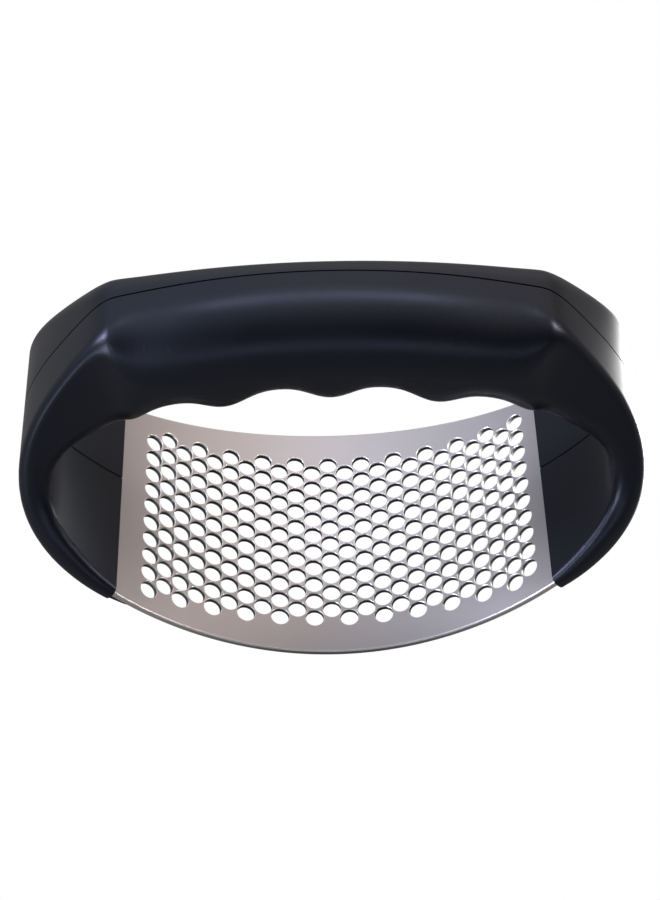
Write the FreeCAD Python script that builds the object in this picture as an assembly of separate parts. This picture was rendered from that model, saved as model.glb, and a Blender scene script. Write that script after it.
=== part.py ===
import FreeCAD, Part
import math
import os

from FreeCAD import Vector

# Rocking garlic press: a perforated steel plate bent to an arc, with its two ends held in
# the feet of an arched plastic handle. The handle is moulded as a front and a rear shell
# that meet on one upright seam and are drawn together by four screws from behind, and a
# small plug closes each screw hole.
#
# Frame: millimetres, X along the grip, +Y from the front shell to the rear shell, +Z up.
# The origin is under the middle of the plate, at the height of its lowest face.

# ---- perforated plate -------------------------------------------------------------------
ROLLING_R = 66.5             # radius of the plate's outer, rolling face
PLATE_THICKNESS = 1.2
REST_FLAT = 0.05             # the rolling face is pressed flat this deep along its lowest line
PLATE_DEPTH = 57.2           # front to back across the middle
PLATE_BOW_R = 243.0          # plan radius of the two bowed long edges
SHOW_ANGLE = 43.1            # half angle of the arc that shows between the feet, degrees
TAB_LENGTH = 7.0             # how far each end runs on inside its foot
TAB_SHOULDER = 1.6           # the plate keeps its full depth this far into the foot
TAB_DEPTH = 40.0             # front to back of the hidden tab

PLATE_FIT = 0.05             # clearance round the plate in its slots
SEAM_TURN = 37.0             # turns each punch's own seam line off the plate's axes, degrees

HOLE_COLUMNS = 24
HOLES_PER_COLUMN = 10
HOLE_D = 3.8
HOLE_PITCH = 4.24            # between neighbours in a column and across to the next one
HOLE_PATTERN_SHIFT = 1.3     # the pattern sits this far to the right, along the arc

# ---- handle -----------------------------------------------------------------------------
SEAM_Y = 4.0                 # plane where the two shells meet
WALL = 2.4                   # moulded wall round the hollow grip
FIT = 0.1                    # clearance between pieces that slide together
SEAM_GROOVE_DEPTH = 0.3      # parting line that shows between the shells
SEAM_GROOVE_WIDTH = 0.36
GRIP_HALF = 38.0             # middle of the grip to the start of the shoulder
GRIP_TOP = 63.5              # top of the grip above the plate's ends
GRIP_HEIGHT = 23.9           # top of the grip to the crests between the finger grooves
GRIP_FRONT = -11.5
GRIP_REAR = 10.8             # in the middle, where the back of the grip is waisted
GRIP_WAIST = 2.0             # and this much further back at its ends
TOP_CROWN_R = 128.0
UNDERSIDE_CROWN_R = 100.0
GRIP_RADII = (12.0, 8.5, 8.0, 8.0)
GROOVE_PITCH = 20.0
GROOVE_DEPTH = 3.4
GROOVE_COUNT = 4

# A cross-section of the arch has four corners. Its depths are their Y, and its radii round
# them: front outer, front inner, rear inner, rear outer.
# Foot: (degrees past the visible arc, plastic above the plate, plastic below it, ...)
FOOT_ROWS = [
    (0.0, 1.0, 1.8, (-25.0, -25.0, 24.4, 24.4), (1.9, 1.6, 1.6, 1.9)),
    (3.5, 1.0, 2.7, (-24.2, -24.4, 24.4, 24.4), (2.3, 2.1, 2.1, 2.3)),
    (8.2, 1.0, 3.7, (-22.2, -22.8, 24.2, 24.2), (2.6, 2.5, 2.5, 2.6)),
]
# Leg and shoulder: outer and inner point as (x, z) from the plate's visible end.
LEG_ROWS = [
    ((13.4, 8.1), (8.2, 12.0), (-19.8, -21.0, 23.8, 23.8), (2.7, 2.6, 2.6, 2.7)),
    ((16.5, 13.9), (10.6, 15.8), (-16.6, -18.4, 23.2, 23.4), (2.9, 2.8, 2.8, 2.9)),
    ((17.2, 20.4), (10.9, 19.6), (-13.6, -16.0, 22.4, 22.6), (3.0, 3.0, 3.0, 3.0)),
    ((16.2, 27.0), (9.7, 23.2), (-11.0, -13.8, 21.0, 21.4), (3.0, 3.6, 3.2, 3.2)),
    ((13.6, 33.6), (7.1, 25.9), (-9.0, -12.4, 19.2, 20.0), (2.8, 4.4, 3.8, 3.8)),
    ((9.9, 40.0), (3.6, 28.0), (-7.2, -11.6, 17.4, 18.2), (2.6, 5.2, 4.8, 4.8)),
    ((5.4, 46.4), (0.0, 30.0), (-6.2, -11.3, 15.8, 16.6), (2.6, 6.0, 5.8, 6.0)),
    ((0.9, 52.4), (-3.0, 31.6), (-5.4, -11.3, 14.2, 14.8), (2.8, 7.0, 6.8, 7.2)),
    ((-2.9, 56.9), (-5.6, 32.8), (-6.0, -11.4, 13.1, 13.5), (4.0, 7.8, 7.6, 8.0)),
]
LOWER_LIP = 1.5              # thickness of the lip that runs on under the plate
LOWER_LIP_STEP = 1.2         # how far it stays back from the foot's front and rear
LOWER_LIP_REACH = (5.0, 0.8) # how far it passes the visible end, left and right

# ---- what holds the shells together -------------------------------------------------------
TONGUE_DEPTH = 1.6           # tongue on the rear shell, inside the front shell's rim
TONGUE_THICKNESS = 1.1
RIB = 1.6
RIB_SHARES = (-0.8, 0.0, 0.8)
SCREW_D = 2.9
SCREW_LENGTH = 14.0          # under the head
SCREW_HEAD_D = 5.4
SCREW_HEAD_HEIGHT = 2.0
SCREW_SEAT_Y = 6.5           # plane that the screw heads press on
BOSS_D = 8.0
PLUG_D = 6.4
PLUG_THICKNESS = 1.6
PIN_D = 2.6
PIN_LENGTH = 6.0

PLATE_R = ROLLING_R - PLATE_THICKNESS / 2
SHELF_R = ROLLING_R - PLATE_THICKNESS
CENTRE = Vector(0, 0, ROLLING_R)
Y_AXIS = Vector(0, 1, 0)
REACH = 200.0                # larger than the object, for half-space cuts


def on_arc(radius, degrees, y=0.0):
    """Point at a radius and an angle round the plate's axis."""
    turn = math.radians(degrees)
    return CENTRE + Vector(radius * math.sin(turn), y, -radius * math.cos(turn))


def arc_degrees(length):
    """Angle of a length measured along the middle of the plate."""
    return math.degrees(length / PLATE_R)


END = on_arc(PLATE_R, SHOW_ANGLE)


# ---- arch of the handle -------------------------------------------------------------------
def foot_rows():
    rows = []
    for past, above, below, depths, radii in FOOT_ROWS:
        outer = on_arc(ROLLING_R + below, SHOW_ANGLE + past)
        inner = on_arc(SHELF_R - above, SHOW_ANGLE + past)
        rows.append([outer.x, outer.z, inner.x, inner.z, *depths, *radii])
    return rows


def leg_rows():
    rows = []
    for outer, inner, depths, radii in LEG_ROWS:
        places = [END.x + outer[0], END.z + outer[1], END.x + inner[0], END.z + inner[1]]
        rows.append([*places, *depths, *radii])
    return rows


def grip_rows():
    rows = []
    for share in (1.0, 0.75, 0.5, 0.25, 0.0):
        x = share * GRIP_HALF
        top = END.z + GRIP_TOP - x * x / (2 * TOP_CROWN_R)
        under = END.z + GRIP_TOP - GRIP_HEIGHT - x * x / (2 * UNDERSIDE_CROWN_R)
        front_outer = GRIP_FRONT + (2.0 if share == 1.0 else 0.0)
        rear = GRIP_REAR + GRIP_WAIST * share * share
        depths = (front_outer, GRIP_FRONT, rear, rear)
        rows.append([x, top, x, under, *depths, *GRIP_RADII])
    return rows


def mirrored(row):
    return [-row[0], row[1], -row[2], row[3], *row[4:]]


HALF_ARCH = foot_rows() + leg_rows() + grip_rows()
ARCH = HALF_ARCH + [mirrored(row) for row in reversed(HALF_ARCH[:-1])]
LAST = len(ARCH) - 1
SHOULDER = len(HALF_ARCH) - 6
HOLLOW_FROM = len(foot_rows()) + 5


def blended(place):
    """Row at a place along the arch, eased between the guide rows by a cubic B-spline."""
    i = min(int(place), LAST - 1)
    t = place - i
    weights = (
        (1 - t) ** 3 / 6,
        (3 * t ** 3 - 6 * t * t + 4) / 6,
        (-3 * t ** 3 + 3 * t * t + 3 * t + 1) / 6,
        t ** 3 / 6,
    )
    before = [2 * a - b for a, b in zip(ARCH[0], ARCH[1])]
    after = [2 * a - b for a, b in zip(ARCH[-1], ARCH[-2])]
    near = ([before] + ARCH + [after, after])[i:i + 4]
    return [sum(w * value for w, value in zip(weights, column)) for column in zip(*near)]


def groove(x):
    """Lift of the underside at x: a round hollow for each finger, with narrow crests."""
    if abs(x) >= GROOVE_PITCH * GROOVE_COUNT / 2:
        return 0.0
    return GROOVE_DEPTH * (1 - abs(math.cos(math.pi * x / GROOVE_PITCH)) ** 3)


def section(place, inset):
    """Corners of one cross-section, each as three poles of its arc and the middle weight."""
    row = blended(place)
    outer = Vector(row[0], 0, row[1])
    inner = Vector(row[2], 0, row[3] + groove(row[2]))
    across = (outer - inner).normalize()
    outer = outer - across * inset
    inner = inner + across * inset
    ends = (outer, inner, inner, outer)
    insets = (inset, inset, -inset, -inset)
    points = [end + Vector(0, y + move, 0) for end, y, move in zip(ends, row[4:8], insets)]
    corners = []
    for k, point in enumerate(points):
        back = (points[k - 1] - point).normalize()
        ahead = (points[(k + 1) % 4] - point).normalize()
        half = back.getAngle(ahead) / 2
        run = max(row[8 + k] - inset, 0.5) / math.tan(half)
        corners.append((point + back * run, point, point + ahead * run, math.sin(half)))
    return corners


def strip(rows, weights):
    """Face along the arch, smooth through the poles of every section."""
    along = len(rows)
    across = len(rows[0])
    surface = Part.BSplineSurface()
    surface.buildFromPolesMultsKnots(
        rows,
        [4] + [1] * (along - 4) + [4],
        [across, across],
        [float(k) for k in range(along - 2)],
        [0.0, 1.0],
        False,
        False,
        3,
        across - 1,
        weights,
    )
    return surface.toShape()


def end_face(corners):
    edges = []
    for k, (start, corner, finish, weight) in enumerate(corners):
        arc = Part.BezierCurve()
        arc.setPoles([start, corner, finish])
        arc.setWeight(2, weight)
        edges.append(arc.toShape())
        edges.append(Part.LineSegment(finish, corners[(k + 1) % 4][0]).toShape())
    return Part.Face(Part.Wire(edges))


def arch_places(first):
    """Places of the sections: two for each guide row, and four where the grooves are."""
    places = []
    place = float(first)
    while place < LAST / 2:
        places.append(place)
        place += 0.25 if place >= SHOULDER else 0.5
    places.append(LAST / 2)
    return places + [LAST - place for place in reversed(places[:-1])]


def arch_solid(inset=0.0, first=0):
    """Solid along the arch, from a guide row on one side to the same row on the other."""
    sections = [section(place, inset) for place in arch_places(first)]
    faces = [end_face(sections[0]), end_face(sections[-1])]
    for k in range(4):
        arcs = [list(corners[k][:3]) for corners in sections]
        faces.append(strip(arcs, [[1.0, corners[k][3], 1.0] for corners in sections]))
        flats = [[corners[k][2], corners[(k + 1) % 4][0]] for corners in sections]
        faces.append(strip(flats, [[1.0, 1.0]] * len(sections)))
    shell = Part.Shell(faces)
    shell.sewShape()
    solid = Part.Solid(shell)
    if solid.Volume < 0:
        solid.reverse()
    return solid


# ---- perforated plate -------------------------------------------------------------------
def arc_sheet(inner_r, outer_r, from_degrees, to_degrees, front, rear):
    """Curved sheet round the plate's axis between two angles."""
    middle = (from_degrees + to_degrees) / 2
    outer = [on_arc(outer_r, a, front) for a in (from_degrees, middle, to_degrees)]
    inner = [on_arc(inner_r, a, front) for a in (to_degrees, middle, from_degrees)]
    edges = [
        Part.Arc(*outer).toShape(),
        Part.makeLine(outer[2], inner[0]),
        Part.Arc(*inner).toShape(),
        Part.makeLine(inner[2], outer[0]),
    ]
    return Part.Face(Part.Wire(edges)).extrude(Vector(0, rear - front, 0))


def plan_prism(grow):
    """Upright prism of the plate's outline from above: bowed edges, then a tab each end."""
    shoulder = on_arc(PLATE_R, SHOW_ANGLE + arc_degrees(TAB_SHOULDER)).x + grow
    bow = PLATE_BOW_R + grow
    bow_centre = bow - PLATE_DEPTH / 2 - grow
    side = math.sqrt(bow * bow - shoulder * shoulder) - bow_centre
    corners = [Vector(sx * shoulder, sy * side, 0) for sx, sy in ((-1, -1), (1, -1), (1, 1), (-1, 1))]
    crest = Vector(0, PLATE_DEPTH / 2 + grow, 0)
    edges = [
        Part.Arc(corners[0], -crest, corners[1]).toShape(),
        Part.makeLine(corners[1], corners[2]),
        Part.Arc(corners[2], crest, corners[3]).toShape(),
        Part.makeLine(corners[3], corners[0]),
    ]
    bowed = Part.Face(Part.Wire(edges)).extrude(Vector(0, 0, REACH))
    half = TAB_DEPTH / 2 + grow
    tabs = Part.makeBox(REACH, 2 * half, REACH, Vector(-REACH / 2, -half, 0))
    prism = bowed.fuse(tabs)
    prism.translate(Vector(0, 0, -REACH / 2))
    return prism


def plate_blank(grow=0.0):
    """Bent plate before it is punched, or the room that it needs when grown."""
    end = SHOW_ANGLE + arc_degrees(TAB_LENGTH + grow)
    sheet = arc_sheet(SHELF_R - grow, ROLLING_R + grow, -end, end, -REACH / 2, REACH / 2)
    return sheet.common(plan_prism(grow))


def hole_punches():
    """Punches in place: ten to a column, every other column moved by half a hole pitch."""
    punch = Part.makeCylinder(HOLE_D / 2, PLATE_THICKNESS + 1, Vector(0, 0, -ROLLING_R - 0.5))
    punch.rotate(Vector(0, 0, 0), Vector(0, 0, 1), SEAM_TURN)
    column_step = math.degrees(HOLE_PITCH * math.cos(math.radians(30)) / PLATE_R)
    punches = []
    for column in range(HOLE_COLUMNS):
        turn = (column - (HOLE_COLUMNS - 1) / 2) * column_step + arc_degrees(HOLE_PATTERN_SHIFT)
        stagger = HOLE_PITCH / 4 * (1 if column % 2 else -1)
        for hole in range(HOLES_PER_COLUMN):
            y = (hole - (HOLES_PER_COLUMN - 1) / 2) * HOLE_PITCH + stagger
            placed = punch.copy()
            placed.rotate(Vector(0, 0, 0), Y_AXIS, -turn)
            placed.translate(CENTRE + Vector(0, y, 0))
            punches.append(placed)
    return punches


def perforated_plate():
    """The flat along the lowest line is 5 mm wide and stands in for rolling resistance: it
    lets the press come to rest. A real press may well have a plain arc here."""
    below = Part.makeBox(REACH, REACH, 1 + REST_FLAT, Vector(-REACH / 2, -REACH / 2, -1))
    return plate_blank().cut(below).cut(hole_punches())


# ---- fasteners and their seats ------------------------------------------------------------
def rod(diameter, x, z, from_y, to_y):
    """Round bar along Y."""
    return Part.makeCylinder(diameter / 2, to_y - from_y, Vector(x, from_y, z), Y_AXIS)


def row_middle(place):
    row = blended(place)
    return (row[0] + row[2]) / 2, (row[1] + row[3]) / 2


def screw_places():
    """Two screws in the shoulders and two in the grip, in the middle of the section."""
    shoulder = row_middle(HOLLOW_FROM + 0.9)
    middle = row_middle(LAST / 2 - 1.5)
    return [(sign * x, z) for x, z in (shoulder, middle) for sign in (-1, 1)]


def pin_places():
    """Two locating pins in each leg, where the handle is solid."""
    low = row_middle(len(foot_rows()) + 0.1)
    high = row_middle(len(foot_rows()) + 2.2)
    return [(sign * x, z) for x, z in (low, high) for sign in (-1, 1)]


def rear_surface(outside, x, z):
    """Y of the handle's rear face at a point of the XZ plane."""
    probe = Part.makeLine(Vector(x, SEAM_Y, z), Vector(x, REACH, z)).common(outside)
    return max(vertex.Y for vertex in probe.Vertexes)


def screw(x, z):
    """Pan-head tapping screw, drawn at its thread's outer diameter."""
    seat = SCREW_SEAT_Y
    point = SCREW_D * 0.8
    tip = seat - SCREW_LENGTH
    shank = rod(SCREW_D, x, z, tip + point, seat)
    cone = Part.makeCone(0.3, SCREW_D / 2, point, Vector(x, tip, z), Y_AXIS)
    head = rod(SCREW_HEAD_D, x, z, seat, seat + SCREW_HEAD_HEIGHT)
    head = head.makeFillet(0.6, [head.Edges[0]])
    body = shank.fuse([cone, head]).removeSplitter()
    top = seat + SCREW_HEAD_HEIGHT
    for long_x, long_z in ((2.8, 0.7), (0.7, 2.8)):
        corner = Vector(x - long_x / 2, top - 1.1, z - long_z / 2)
        body = body.cut(Part.makeBox(long_x, 2.0, long_z, corner))
    return body


def plug(outside, x, z):
    """Cap over a screw hole, its face following the handle."""
    seat = rear_surface(outside, x, z) - PLUG_THICKNESS
    return rod(PLUG_D, x, z, seat, REACH / 2).common(outside)


# ---- shells -------------------------------------------------------------------------------
def slab(from_y, to_y):
    return Part.makeBox(REACH, to_y - from_y, REACH, Vector(-REACH / 2, from_y, -REACH / 4))


def seam_groove(outside):
    """Shallow groove all round the outside, half in each shell."""
    half = SEAM_GROOVE_WIDTH / 2
    return outside.cut(arch_solid(SEAM_GROOVE_DEPTH)).common(slab(SEAM_Y - half, SEAM_Y + half))


def ribs(cavity, from_y, to_y):
    """Stiffening webs across the hollow of the grip."""
    webs = []
    for share in RIB_SHARES:
        x = share * GRIP_HALF - RIB / 2
        web = Part.makeBox(RIB, to_y - from_y, REACH, Vector(x, from_y, -REACH / 4))
        webs.append(web.common(cavity))
    return webs


def lower_lips():
    """Lip of each foot that runs on under the plate, longer on the left."""
    lips = []
    for side, reach in zip((-1, 1), LOWER_LIP_REACH):
        start = side * (SHOW_ANGLE + 2.0)
        stop = side * (SHOW_ANGLE - arc_degrees(reach))
        front = FOOT_ROWS[0][3][0] + LOWER_LIP_STEP
        rear = FOOT_ROWS[0][3][3] - LOWER_LIP_STEP
        inner = ROLLING_R + PLATE_FIT
        lips.append(arc_sheet(inner, inner + LOWER_LIP, start, stop, front, rear))
    return lips


def front_shell(outside, cavity):
    shell = outside.cut(cavity).common(slab(-REACH / 2, SEAM_Y))
    bosses = [rod(BOSS_D, x, z, -REACH / 4, SEAM_Y).common(cavity) for x, z in screw_places()]
    lips = [lip.common(slab(-REACH / 2, SEAM_Y)) for lip in lower_lips()]
    shell = shell.fuse(bosses + ribs(cavity, -REACH / 4, SEAM_Y - FIT) + lips)
    inset = WALL - TONGUE_THICKNESS
    room = arch_solid(inset - FIT, HOLLOW_FROM).cut(arch_solid(WALL + FIT, HOLLOW_FROM))
    tools = [room.common(slab(SEAM_Y - TONGUE_DEPTH - FIT, SEAM_Y))]
    tools += [rod(SCREW_D + FIT / 2, x, z, SCREW_SEAT_Y - SCREW_LENGTH - 0.5, SEAM_Y)
              for x, z in screw_places()]
    tools += [rod(PIN_D + FIT, x, z, SEAM_Y - PIN_LENGTH - 0.3, SEAM_Y) for x, z in pin_places()]
    return shell.cut(tools + [plate_blank(PLATE_FIT), seam_groove(outside)])


def rear_shell(outside, cavity):
    shell = outside.cut(cavity).common(slab(SEAM_Y, REACH / 2))
    ring = arch_solid(WALL - TONGUE_THICKNESS, HOLLOW_FROM).cut(cavity)
    tongue = ring.common(slab(SEAM_Y - TONGUE_DEPTH, SEAM_Y))
    bosses = [rod(BOSS_D, x, z, SEAM_Y, REACH / 4).common(cavity) for x, z in screw_places()]
    pins = [rod(PIN_D, x, z, SEAM_Y - PIN_LENGTH, SEAM_Y + 1) for x, z in pin_places()]
    lips = [lip.common(slab(SEAM_Y, REACH / 2)) for lip in lower_lips()]
    shell = shell.fuse([tongue] + bosses + pins + ribs(cavity, SEAM_Y, REACH / 4) + lips)
    tools = [plate_blank(PLATE_FIT), seam_groove(outside)]
    for x, z in screw_places():
        plug_seat = rear_surface(outside, x, z) - PLUG_THICKNESS
        tools.append(rod(SCREW_D + 4 * FIT, x, z, SEAM_Y - 1, SCREW_SEAT_Y + 1))
        tools.append(rod(SCREW_HEAD_D + 4 * FIT, x, z, SCREW_SEAT_Y, plug_seat + 1))
        tools.append(rod(PLUG_D + FIT, x, z, plug_seat, REACH / 4))
    return shell.cut(tools)


def main():
    os.makedirs("parts", exist_ok=True)
    outside = arch_solid()
    cavity = arch_solid(WALL, HOLLOW_FROM)
    nodes = {
        "front_shell": front_shell(outside, cavity),
        "rear_shell": rear_shell(outside, cavity),
        "perforated_plate": perforated_plate(),
        "assembly_screws": Part.makeCompound([screw(x, z) for x, z in screw_places()]),
        "screw_plugs": Part.makeCompound([plug(outside, x, z) for x, z in screw_places()]),
    }
    for name, shape in nodes.items():
        shape.translate(Vector(0, 0, -REST_FLAT))
        shape.exportStep(f"parts/{name}.step")
        solids = len(shape.Solids)
        print(f"{name}: {solids} solid(s), {shape.Volume / 1000:.2f} cm3, valid {shape.isValid()}")


main()
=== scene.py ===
# %% [markdown]
# # A rocking garlic press
# The real object is a perforated steel sheet bent to an arc, with an arched plastic handle
# moulded in two halves over its ends. The frame holds those pieces at their true sizes, so
# this lesson brings them in, gives each one its real finish, and adds the fine edges that
# a punched sheet has. Everything is in metres.

# %% Bring in the frame
import math
import bpy
import numpy as np
from mathutils import Matrix, Vector
from mathutils.geometry import delaunay_2d_cdt


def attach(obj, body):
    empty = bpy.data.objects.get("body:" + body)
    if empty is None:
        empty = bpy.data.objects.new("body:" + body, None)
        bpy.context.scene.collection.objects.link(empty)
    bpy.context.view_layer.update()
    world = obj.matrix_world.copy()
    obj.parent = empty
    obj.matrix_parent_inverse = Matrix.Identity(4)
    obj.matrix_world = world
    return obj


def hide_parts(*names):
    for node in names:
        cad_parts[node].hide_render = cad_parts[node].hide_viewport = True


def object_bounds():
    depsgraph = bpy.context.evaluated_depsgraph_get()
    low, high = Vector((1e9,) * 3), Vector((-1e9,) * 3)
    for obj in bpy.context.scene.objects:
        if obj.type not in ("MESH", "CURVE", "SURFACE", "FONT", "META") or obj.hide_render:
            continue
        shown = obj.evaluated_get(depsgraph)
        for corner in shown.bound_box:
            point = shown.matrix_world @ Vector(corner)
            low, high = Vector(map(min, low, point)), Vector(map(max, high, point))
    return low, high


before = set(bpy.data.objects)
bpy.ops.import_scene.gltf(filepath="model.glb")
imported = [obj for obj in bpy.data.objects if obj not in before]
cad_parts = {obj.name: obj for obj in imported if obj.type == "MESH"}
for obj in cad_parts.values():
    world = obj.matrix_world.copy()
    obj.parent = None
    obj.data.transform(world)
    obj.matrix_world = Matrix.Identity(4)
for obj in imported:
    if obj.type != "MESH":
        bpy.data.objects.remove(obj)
cad_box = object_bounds()
mm = 0.001
print("nodes:", ", ".join(sorted(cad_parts)))

# %% [markdown]
# ## The camera
# A tool like this shows best from above and in front, about 42 cm away, where the grip, the
# finger grooves and the holes can all be seen. The camera is turned a little more than half
# a degree to the side and rolled by a little under one degree.

# %% Camera
CAMERA_PLACE = Vector((-2.7137, -243.2753, 345.8584)) * mm
CAMERA_TILT = 37.83      # degrees up from straight down
CAMERA_TURN = -0.583     # degrees round the upright axis
CAMERA_ROLL = -0.884
LENS = 77.84             # mm
SENSOR = 36.0            # mm, along its long side

camera = bpy.data.objects.new("camera", bpy.data.cameras.new("camera"))
bpy.context.scene.collection.objects.link(camera)
turn = Matrix.Rotation(math.radians(CAMERA_TURN), 4, "Z")
tilt = Matrix.Rotation(math.radians(CAMERA_TILT), 4, "X")
roll = Matrix.Rotation(math.radians(CAMERA_ROLL), 4, "Z")
camera.matrix_world = Matrix.Translation(CAMERA_PLACE) @ turn @ tilt @ roll
camera.data.lens = LENS
camera.data.sensor_width = SENSOR
camera.data.clip_start = 0.01
bpy.context.scene.camera = camera
print("camera looks along", tuple(round(x, 4) for x in -camera.matrix_world.col[2].xyz))

# %% [markdown]
# ## A helper for materials
# Every finish below is a small network of shader nodes. One function adds a node, sets its
# values and links its inputs, so each finish reads as a short list of steps. Colours are
# written as screen hex values and turned to the linear numbers that the renderer works in.

# %% Material helpers
def linear(hex_colour):
    """Linear colour of an sRGB hex value such as "#8A8A8A"."""
    parts = [int(hex_colour[i:i + 2], 16) / 255 for i in (1, 3, 5)]
    parts = [p / 12.92 if p <= 0.04045 else ((p + 0.055) / 1.055) ** 2.4 for p in parts]
    return (*parts, 1.0)


def add(tree, kind, inputs=None, **settings):
    """Adds a node; an input is a value, or the output socket that it is linked from."""
    node = tree.nodes.new(kind)
    for name, value in settings.items():
        setattr(node, name, value)
    for name, value in (inputs or {}).items():
        if isinstance(value, bpy.types.NodeSocket):
            tree.links.new(value, node.inputs[name])
        else:
            node.inputs[name].default_value = value
    return node


def new_material(name):
    material = bpy.data.materials.new(name)
    material.use_nodes = True
    material.node_tree.nodes.clear()
    return material, material.node_tree


# %% [markdown]
# ## Handle plastic
# The handle is black ABS from a steel mould whose faces were lightly blasted. That gives
# the eye a satin black with a trace of blue, soft wide highlights, and a grain too fine to
# see as dots but enough to break the highlights up. Handling leaves some places a little
# smoother than others, so the roughness drifts over a few centimetres.

# %% Moulded satin ABS
GRAIN_MM = 0.35          # blasted grain is nearer 0.1 mm; drawn coarser so that it shows
GRAIN_DEPTH_MM = 0.02
GRAIN_STRENGTH = 0.20
HANDLING_MM = 22.0
NOISE_SPAN = (0.3, 0.7)  # nearly all of a noise's values lie between these


def moulded_abs(name, colour, rough_low, rough_high):
    material, tree = new_material(name)
    place = add(tree, "ShaderNodeTexCoord").outputs["Object"]
    handling = add(tree, "ShaderNodeTexNoise",
                   {"Vector": place, "Scale": 1 / (HANDLING_MM * mm), "Detail": 3.0})
    roughness = add(tree, "ShaderNodeMapRange",
                    {"Value": handling.outputs["Fac"],
                     "From Min": NOISE_SPAN[0], "From Max": NOISE_SPAN[1],
                     "To Min": rough_low, "To Max": rough_high})
    grain = add(tree, "ShaderNodeTexNoise",
                {"Vector": place, "Scale": 1 / (GRAIN_MM * mm), "Detail": 2.0})
    relief = add(tree, "ShaderNodeBump",
                 {"Height": grain.outputs["Fac"], "Strength": GRAIN_STRENGTH,
                  "Distance": GRAIN_DEPTH_MM * mm})
    skin = add(tree, "ShaderNodeBsdfPrincipled",
               {"Base Color": linear(colour), "Roughness": roughness.outputs["Result"],
                "IOR": 1.45, "Specular Tint": linear("#DCE5FF"),
                "Normal": relief.outputs["Normal"]})
    add(tree, "ShaderNodeOutputMaterial", {"Surface": skin.outputs["BSDF"]})
    return material


def paint(name, material):
    """Gives a CAD node one material over its whole surface."""
    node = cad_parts[name]
    node.data.materials.clear()
    node.data.materials.append(material)
    print(f"{name}: {material.name}")


handle_abs = moulded_abs("moulded_satin_abs", "#080A10", 0.30, 0.39)
paint("front_shell", handle_abs)
paint("rear_shell", handle_abs)
paint("screw_plugs", moulded_abs("moulded_plug_abs", "#131417", 0.40, 0.50))

# %% [markdown]
# ## Screws
# The four screws are bright zinc on steel. They sit under the plugs, and only the model
# taken apart shows them, but each piece still gets its own finish.

# %% Zinc plate
PASSIVATION_MM = 1.5         # size of the faint clouds in the plating

zinc, tree = new_material("bright_zinc_plate")
place = add(tree, "ShaderNodeTexCoord").outputs["Object"]
passivation = add(tree, "ShaderNodeTexNoise", {"Vector": place, "Scale": 1 / (PASSIVATION_MM * mm)})
tint = add(tree, "ShaderNodeMix",
           {0: passivation.outputs["Fac"], 6: linear("#C9CBCD"), 7: linear("#B9BEC6")},
           data_type="RGBA")
metal = add(tree, "ShaderNodeBsdfPrincipled",
            {"Base Color": tint.outputs[2], "Metallic": 1.0, "Roughness": 0.25})
add(tree, "ShaderNodeOutputMaterial", {"Surface": metal.outputs["BSDF"]})
paint("assembly_screws", zinc)

# %% [markdown]
# ## The perforated sheet: outline and holes
# The real piece is 1.2 mm stainless sheet. It is punched flat, which draws the rims of the
# holes down, its long edges are rounded, and only then is it bent to the arc. The CAD piece
# has sharp edges everywhere, and those rounded rims are what catch the light, so the sheet
# is made again here at the same size. It is laid out flat, as the factory does: the outline and the
# 240 holes become closed loops of points, and a constrained triangulation fills the metal
# between them.

# %% Sizes of the sheet
ROLLING_R = 66.5 * mm        # radius of the outer, rolling face
THICKNESS = 1.2 * mm
REST_FLAT = 0.05 * mm        # a flat this deep at the lowest line stands in for rolling
                             # resistance; a real press may have a plain arc there
MIDDLE_R = ROLLING_R - THICKNESS / 2
DEPTH = 57.2 * mm            # front to back across the middle
BOW_R = 243.0 * mm           # plan radius of the long edges
SHOW_ANGLE = 43.1            # half the arc that shows, degrees
TAB_SHOULDER = 1.6 * mm      # full depth goes on this far inside the foot
TAB_LENGTH = 7.0 * mm
TAB_DEPTH = 40.0 * mm
HOLE_R = 1.9 * mm
PITCH = 4.24 * mm
COLUMNS, ROWS = 24, 10
PATTERN_SHIFT = 1.3 * mm     # the pattern sits this far to the right

# Rounding of an edge: how far it starts in from the edge, on the inner and the outer face.
RIM_ROUND = (0.17 * mm, 0.08 * mm)
LONG_EDGE_ROUND = (0.42 * mm, 0.12 * mm)
LIP_DEPTH = 0.40 * mm        # how far the inner rounding reaches down the cut
BOW_POINTS = 60              # points along each quarter of the bowed outline


def hole_centres():
    """Middles of the holes, along the arc and front to back."""
    step = PITCH * math.cos(math.radians(30))
    for column in range(COLUMNS):
        along = (column - (COLUMNS - 1) / 2) * step + PATTERN_SHIFT
        stagger = PITCH / 4 * (1 if column % 2 else -1)
        for row in range(ROWS):
            yield along, (row - (ROWS - 1) / 2) * PITCH + stagger


def half_outline():
    """The right half of the outline, from the front middle to the back middle."""
    shoulder = MIDDLE_R * math.radians(SHOW_ANGLE) + TAB_SHOULDER
    end = MIDDLE_R * math.radians(SHOW_ANGLE) + TAB_LENGTH
    front = []
    for along in np.linspace(0.0, shoulder, BOW_POINTS):
        x = MIDDLE_R * math.sin(along / MIDDLE_R)
        front.append((along, BOW_R - DEPTH / 2 - math.sqrt(BOW_R ** 2 - x ** 2)))
    front += [(shoulder, -TAB_DEPTH / 2), (end, -TAB_DEPTH / 2)]
    return front + [(x, -y) for x, y in reversed(front)]


right = half_outline()
outline = np.array(right + [(-x, y) for x, y in reversed(right)][1:-1])
holes = np.array(list(hole_centres()))
print(f"{len(outline)} outline points, {len(holes)} holes, box",
      np.round(np.ptp(outline, axis=0) / mm, 1))

# %% [markdown]
# ## The perforated sheet: filling the metal
# Every loop is drawn where the flat face begins, so it lies a little way in from the true
# edge. A few loose points in the plain margins keep the triangles there short, because a
# long triangle would cut straight across the arc once the sheet is bent.

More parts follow.
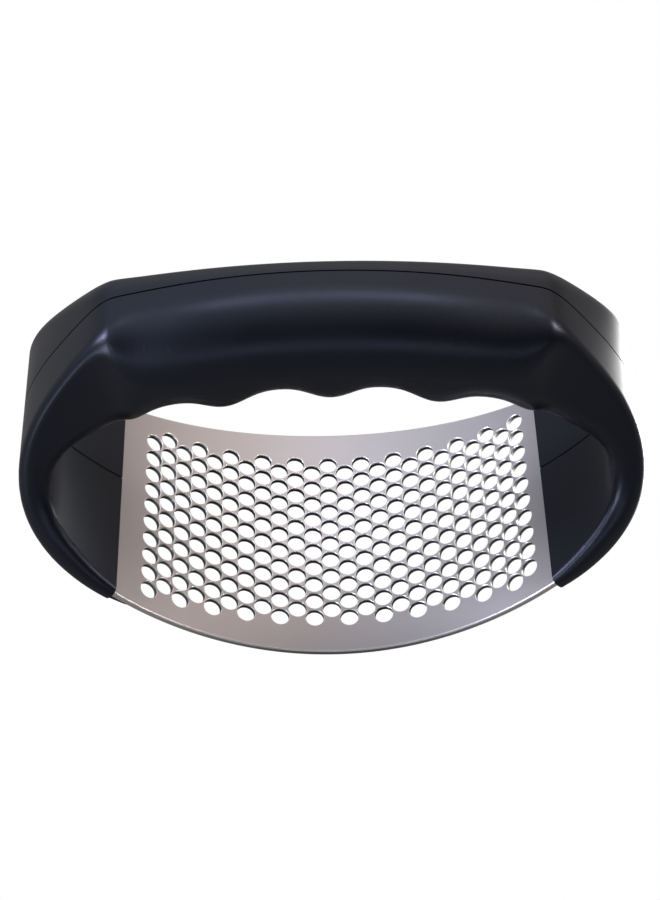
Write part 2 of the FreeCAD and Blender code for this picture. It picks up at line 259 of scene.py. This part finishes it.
# %% Triangulate the flat face
HOLE_SEGMENTS = 28
MARGIN_STEP = 1.7 * mm
OUTLINE_GAP = 1.0 * mm       # the loose points keep this far from the outline
RIM_GAP = 0.9 * mm           # and this far from a hole
JUST_INSIDE = 0.98           # a triangle's middle is inside if it clears this much of a rounding
TOLERANCE = 1e-6             # mm, points closer than this are one point


def inward_normals(loop):
    """Unit normals to the left of a closed loop that runs anticlockwise."""
    along = np.roll(loop, -1, axis=0) - np.roll(loop, 1, axis=0)
    along /= np.linalg.norm(along, axis=1)[:, None]
    return np.column_stack([-along[:, 1], along[:, 0]])


def inside_sheet(points, inset=0.0):
    x, y = np.abs(points).T
    shoulder = MIDDLE_R * math.radians(SHOW_ANGLE) + TAB_SHOULDER
    bow = np.sqrt(BOW_R ** 2 - (MIDDLE_R * np.sin(x / MIDDLE_R)) ** 2) - BOW_R + DEPTH / 2
    main = (x < shoulder - inset) & (y < bow - inset)
    tab = (x < shoulder - TAB_SHOULDER + TAB_LENGTH - inset) & (y < TAB_DEPTH / 2 - inset)
    return main | tab


def off_the_holes(points, clearance):
    gaps = np.linalg.norm(points[:, None, :] - holes[None, :, :], axis=2)
    return gaps.min(axis=1) > clearance


# The metal lies on the left of every loop, so the holes run clockwise.
turns = np.linspace(0, -2 * math.pi, HOLE_SEGMENTS, endpoint=False)
spokes = np.column_stack([np.cos(turns), np.sin(turns)])
loops = [(outline, inward_normals(outline), LONG_EDGE_ROUND)]
loops += [(centre + HOLE_R * spokes, spokes, RIM_ROUND) for centre in holes]

reach = outline.max(axis=0)
grid = np.stack(np.meshgrid(np.arange(-reach[0], reach[0], MARGIN_STEP),
                            np.arange(-reach[1], reach[1], MARGIN_STEP)), axis=-1).reshape(-1, 2)
grid = grid[inside_sheet(grid, OUTLINE_GAP) & off_the_holes(grid, HOLE_R + RIM_GAP)]

flat = [edge + inward * rounding[0] for edge, inward, rounding in loops]
starts = np.cumsum([0] + [len(loop) for loop in flat])
edges = [(a + k, a + (k + 1) % (b - a))
         for a, b in zip(starts, starts[1:]) for k in range(b - a)]
points = np.vstack(flat + [grid])
found = delaunay_2d_cdt([Vector(p) for p in points / mm], edges, [], 0, TOLERANCE)
face_points, triangles = np.array([v[:] for v in found[0]]) * mm, np.array(found[2])
assert len(face_points) == len(points)
middles = face_points[triangles].mean(axis=1)
ring = (HOLE_R + RIM_ROUND[0]) * math.cos(math.pi / HOLE_SEGMENTS)
in_metal = inside_sheet(middles, JUST_INSIDE * LONG_EDGE_ROUND[0]) & off_the_holes(middles, ring)
triangles = triangles[in_metal]
print(f"{len(points)} points, {len(triangles)} triangles on each face")

# %% [markdown]
# ## The perforated sheet: rounded edges, then the bend
# The same triangles serve both faces. Round every hole and round the outline, rings of
# quads run from one face to the other along a profile: a quarter round, the plain cut wall,
# and a smaller quarter round on the far side. Bending is then a single change of
# coordinates, the way bending rolls do it: distance along the sheet becomes an angle.

# %% Sweep the edges and bend the sheet
ROUND_STEPS = 4              # bands of quads in each rounding
MILL_FACE, BURNISHED_AND_PAINTED_HIGHLIGHT, FRACTURED_AND_PAINTED_SHADE, TUMBLED = range(4)   # the order of the sheet's finishes


def edge_profile(inner, outer):
    """(inset, height, lean) from the inner face, over both rounded edges, to the outer face.
    The lean is how far the surface has turned from the face towards the cut wall, in radians.
    The inner rounding is deeper than it is wide, as a punch draws the metal down with it."""
    quarter = [math.pi / 2 * k / ROUND_STEPS for k in range(ROUND_STEPS + 1)]
    top = [(inner * (1 - math.sin(a)), THICKNESS / 2 - LIP_DEPTH * (1 - math.cos(a)), a)
           for a in quarter]
    low = [(outer * (1 - math.sin(a)), outer * (1 - math.cos(a)) - THICKNESS / 2, math.pi - a)
           for a in reversed(quarter)]
    return top + low


def swept(plan, inward, inset, height, lean):
    """One ring of points round a loop, and the direction that the surface faces at each."""
    places = np.column_stack([plan + inward * inset, np.full(len(plan), height)])
    facing = np.column_stack([-inward * math.sin(lean), np.full(len(plan), math.cos(lean))])
    return places, facing


def bent(sheet):
    """Sheet coordinates (along, across, height) to the arc, which stands on its flat."""
    angle, radius = sheet[:, 0] / MIDDLE_R, MIDDLE_R - sheet[:, 2]
    height = ROLLING_R - REST_FLAT - radius * np.cos(angle)
    return np.column_stack([radius * np.sin(angle), sheet[:, 1], np.maximum(height, 0.0)])


def bent_direction(sheet, facing):
    angle = sheet[:, 0] / MIDDLE_R
    return np.column_stack([facing[:, 0] * np.cos(angle) - facing[:, 2] * np.sin(angle),
                            facing[:, 1],
                            facing[:, 0] * np.sin(angle) + facing[:, 2] * np.cos(angle)])


still = np.zeros_like(points)
outer_plan = points.copy()
for start, (edge, inward, rounding) in zip(starts, loops):
    outer_plan[start:start + len(edge)] = edge + inward * rounding[1]
stack = [swept(points, still, 0.0, THICKNESS / 2, 0.0),
         swept(outer_plan, still, 0.0, -THICKNESS / 2, math.pi)]
faces = triangles.tolist() + (triangles[:, ::-1] + len(points)).tolist()
face_finish = [MILL_FACE] * len(faces)
count = 2 * len(points)
for start, (edge, inward, rounding) in zip(starts, loops):
    size = len(edge)
    rings = [start + np.arange(size)]
    for inset, height, lean in edge_profile(*rounding)[1:-1]:
        stack.append(swept(edge, inward, inset, height, lean))
        rings.append(count + np.arange(size))
        count += size
    rings.append(start + len(points) + np.arange(size))
    for band, (a, b) in enumerate(zip(rings, rings[1:])):
        faces += np.column_stack([a, b, np.roll(b, -1), np.roll(a, -1)]).tolist()
        # the mouth's rounding is smooth burnish with a painted highlight; the cut wall and far
        # rounding are rough fracture with painted shade
        hole_finish = BURNISHED_AND_PAINTED_HIGHLIGHT if band < ROUND_STEPS else FRACTURED_AND_PAINTED_SHADE
        face_finish += [TUMBLED if rounding == LONG_EDGE_ROUND else hole_finish] * size

places, facing = (np.vstack(column) for column in zip(*stack))
sheet_mesh = bpy.data.meshes.new("punched_sheet")
sheet_mesh.from_pydata(bent(places).tolist(), [], faces)
sheet_mesh.shade_smooth()
sheet_mesh.polygons.foreach_set("material_index", face_finish)
sheet_mesh.normals_split_custom_set_from_vertices(bent_direction(places, facing).tolist())
sheet = bpy.data.objects.new("punched_sheet", sheet_mesh)
bpy.context.scene.collection.objects.link(sheet)
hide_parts("perforated_plate")
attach(sheet, "root")
print(f"sheet: {len(sheet_mesh.vertices)} points, {len(sheet_mesh.polygons)} faces")

# %% [markdown]
# ## Stainless sheet
# Cold-rolled 18/8 stainless comes from the mill with a dull satin face, and faint lines
# along the way it was rolled. Its colour is a warm grey. A long thin noise gives the lines;
# a wide one gives the slight clouding that handling and pressing leave.
#
# A punch cuts cleanly through the first third of the sheet and burnishes it, then the rest
# breaks away and stays rough. So each hole has a smooth lip over a rough crescent. On top of
# that, the lip is painted far lighter than steel, as a painted highlight, and the crescent far
# darker, as painted shade. Four finishes come from one function, because only the numbers differ.
# The outline was tumbled after cutting, so its edge is duller than the mouths of the holes, which
# the punch burnishes.

# %% Stainless finishes
LINE_WIDTH_MM = 0.22         # mill lines are finer; drawn as wide as the render can show
LINE_LENGTH_MM = 14.0
LINE_STRENGTH = 0.08
CLOUD_MM = 18.0


def stainless(name, dark, light, rough_low, rough_high, relief_mm):
    """Rolled stainless: a colour that clouds between two greys, and lines in its gloss."""
    material, tree = new_material(name)
    place = add(tree, "ShaderNodeTexCoord").outputs["Object"]
    along = LINE_WIDTH_MM / LINE_LENGTH_MM
    stretched = add(tree, "ShaderNodeMapping", {"Vector": place, "Scale": (along, 1.0, along)})
    lines = add(tree, "ShaderNodeTexNoise",
                {"Vector": stretched.outputs["Vector"],
                 "Scale": 1 / (LINE_WIDTH_MM * mm), "Detail": 2.0})
    clouds = add(tree, "ShaderNodeTexNoise",
                 {"Vector": place, "Scale": 1 / (CLOUD_MM * mm), "Detail": 3.0})
    colour = add(tree, "ShaderNodeMix",
                 {0: clouds.outputs["Fac"], 6: linear(dark), 7: linear(light)},
                 data_type="RGBA")
    roughness = add(tree, "ShaderNodeMapRange",
                    {"Value": lines.outputs["Fac"], "To Min": rough_low, "To Max": rough_high})
    relief = add(tree, "ShaderNodeBump",
                 {"Height": lines.outputs["Fac"], "Strength": LINE_STRENGTH,
                  "Distance": relief_mm * mm})
    steel = add(tree, "ShaderNodeBsdfPrincipled",
                {"Base Color": colour.outputs[2], "Metallic": 1.0,
                 "Roughness": roughness.outputs["Result"], "Normal": relief.outputs["Normal"]})
    add(tree, "ShaderNodeOutputMaterial", {"Surface": steel.outputs["BSDF"]})
    return material


satin = stainless("cold_rolled_stainless_satin", "#BEB7B6", "#C7C2C3", 0.30, 0.42, 0.01)
# The next two are partly painted: the burnish colour is a painted highlight far lighter than steel,
# the fracture colour painted shade far darker.
burnish_and_painted_highlight = stainless("punch_burnished_stainless_and_painted_highlight", "#F0EDEB", "#F6F4F2", 0.26, 0.36, 0.005)
fracture_and_painted_shade = stainless("punch_fractured_stainless_and_painted_shade", "#6E6A69", "#8A8584", 0.42, 0.60, 0.03)
tumbled = stainless("tumbled_edge_stainless", "#CFCAC8", "#D8D4D2", 0.38, 0.46, 0.01)
for material in (satin, burnish_and_painted_highlight, fracture_and_painted_shade, tumbled):
    sheet_mesh.materials.append(material)
paint("perforated_plate", satin)

# %% [markdown]
# ## Floor and room
# The stage is a plain white sweep that glows white to the camera, so it shows no shadow. The camera
# sees it as pure white. The object sees something else: a painted shadow, where the paper glows
# dimly under it, a painted pool of light, where the paper glows brightly to the right though no
# lamp is there, and a room whose walls are white behind and dark in front, on the camera's side.
# Black plastic shows little but its reflections, so this is what draws its shape.

# %% Stage
FLOOR_HALF = 2.0                  # metres, half the side of the sweep
FLOOR_GAP = 0.5 * mm              # the sweep lies this far under the rolling face
# A painted shadow: near the middle the paper glows dimly, and further out more brightly.
SHADOW_STRETCH = (0.6, 1.0, 0.0)  # a metre counts for this much, so the shadow is long in x
SHADOW_REACH = (0.022, 0.055)     # metres from its middle, where it starts and stops fading
SHADOW_GLOW = (0.03, 0.30)        # brightness of the paper in the shadow and beyond it
# A painted pool of light: round this point the paper glows brightly, though no lamp is there.
POOL_PLACE = (0.088, 0.040, 0.0)
POOL_REACH = (0.0, 0.050)
POOL_GLOW = (30.0, 0.0)
ROOM_SIDES = (-0.6, 0.6)          # the room's tint changes between these, left to right
ROOM_BRIGHT_WAY = (0.0, 0.6, 0.8)  # direction of the brightest wall, up and behind
ROOM_REACH = (0.1, 1.0)           # how nearly a direction points that way
ROOM_GLOW = (0.05, 0.95)


def white_to_camera(tree, white, room):
    """A shader that is white to the camera and the room's own light to everything else."""
    ray = add(tree, "ShaderNodeLightPath").outputs["Is Camera Ray"]
    seen = add(tree, "ShaderNodeMixShader", {0: ray, 1: room, 2: white})
    return seen.outputs[0]


def ramp(tree, value, start, end, low, high):
    """A value turned into a brightness that rises smoothly between two limits."""
    made = add(tree, "ShaderNodeMapRange",
               {"Value": value, "From Min": start, "From Max": end,
                "To Min": low, "To Max": high},
               interpolation_type="SMOOTHSTEP")
    return made.outputs["Result"]


floor_paint, tree = new_material("white_sweep")
paper = add(tree, "ShaderNodeEmission", {"Color": (1, 1, 1, 1), "Strength": 1.0}).outputs[0]
place = add(tree, "ShaderNodeTexCoord").outputs["Object"]
stretched = add(tree, "ShaderNodeVectorMath", {0: place, 1: SHADOW_STRETCH},
                operation="MULTIPLY")
away = add(tree, "ShaderNodeVectorMath", {0: stretched.outputs[0]},
           operation="LENGTH").outputs["Value"]
# painted shadow: a dim glow under the object that brightens further out
shadow = ramp(tree, away, *SHADOW_REACH, *SHADOW_GLOW)
# painted pool of light: a bright glow round POOL_PLACE
from_pool = add(tree, "ShaderNodeVectorMath", {0: place, 1: POOL_PLACE},
                operation="DISTANCE").outputs["Value"]
pool = ramp(tree, from_pool, *POOL_REACH, *POOL_GLOW)
strength = add(tree, "ShaderNodeMath", {0: shadow, 1: pool}, operation="ADD").outputs[0]
ground = add(tree, "ShaderNodeEmission",
             {"Color": linear("#F6F4F3"), "Strength": strength}).outputs[0]
add(tree, "ShaderNodeOutputMaterial", {"Surface": white_to_camera(tree, paper, ground)})
floor_mesh = bpy.data.meshes.new("floor")
corners = [(-1, -1), (1, -1), (1, 1), (-1, 1)]
floor_mesh.from_pydata([(x * FLOOR_HALF, y * FLOOR_HALF, 0) for x, y in corners],
                       [], [(0, 1, 2, 3)])
floor_mesh.materials.append(floor_paint)
floor = bpy.data.objects.new("floor", floor_mesh)
floor.location.z = -FLOOR_GAP
bpy.context.scene.collection.objects.link(floor)

world = bpy.data.worlds.new("studio")
bpy.context.scene.world = world
world.use_nodes = True
tree = world.node_tree
tree.nodes.clear()
generated = add(tree, "ShaderNodeTexCoord").outputs["Generated"]
way = add(tree, "ShaderNodeSeparateXYZ", {0: generated})
tint = add(tree, "ShaderNodeMix",
           {0: ramp(tree, way.outputs["X"], *ROOM_SIDES, 0.0, 1.0),
            6: linear("#E4EAF8"), 7: linear("#FBF0EA")}, data_type="RGBA")
lift = add(tree, "ShaderNodeVectorMath", {0: generated, 1: ROOM_BRIGHT_WAY},
           operation="DOT_PRODUCT").outputs["Value"]
behind = ramp(tree, lift, *ROOM_REACH, *ROOM_GLOW)
room = add(tree, "ShaderNodeBackground", {"Color": tint.outputs[2], "Strength": behind})
backdrop = add(tree, "ShaderNodeBackground", {"Color": (1, 1, 1, 1), "Strength": 1.0})
add(tree, "ShaderNodeOutputWorld",
    {"Surface": white_to_camera(tree, backdrop.outputs[0], room.outputs[0])})
bpy.context.scene.view_settings.view_transform = "Standard"


# %% Softboxes
def softbox(name, place, target, width, height, power, colour="#FFFFFF"):
    """A rectangular soft light that faces a point, sizes in metres."""
    lamp = bpy.data.lights.new(name, "AREA")
    lamp.shape, lamp.size, lamp.size_y = "RECTANGLE", width, height
    lamp.energy, lamp.color = power, linear(colour)[:3]
    holder = bpy.data.objects.new(name, lamp)
    holder.location = place
    holder.rotation_euler = (Vector(target) - Vector(place)).to_track_quat("-Z", "Y").to_euler()
    bpy.context.scene.collection.objects.link(holder)
    return holder


middle = (cad_box[0] + cad_box[1]) / 2
softbox("top softbox", (0.0, 0.22, 0.75), middle, 0.7, 0.14, 1.5, "#E8EEFF")
softbox("right softbox", (0.80, 0.05, 0.50), middle, 0.16, 0.3, 3.0, "#FFF6F0")
softbox("left softbox", (-0.80, 0.05, 0.50), middle, 0.16, 0.3, 6.0, "#E4EAFF")
softbox("left edge strip", (-0.62, -0.42, 0.24), middle, 0.10, 0.30, 2.4, "#E8ECFC")
softbox("front softbox", (0.0, -0.70, 0.28), middle, 0.9, 0.12, 0.7, "#E4EAFF")
print("stage set")
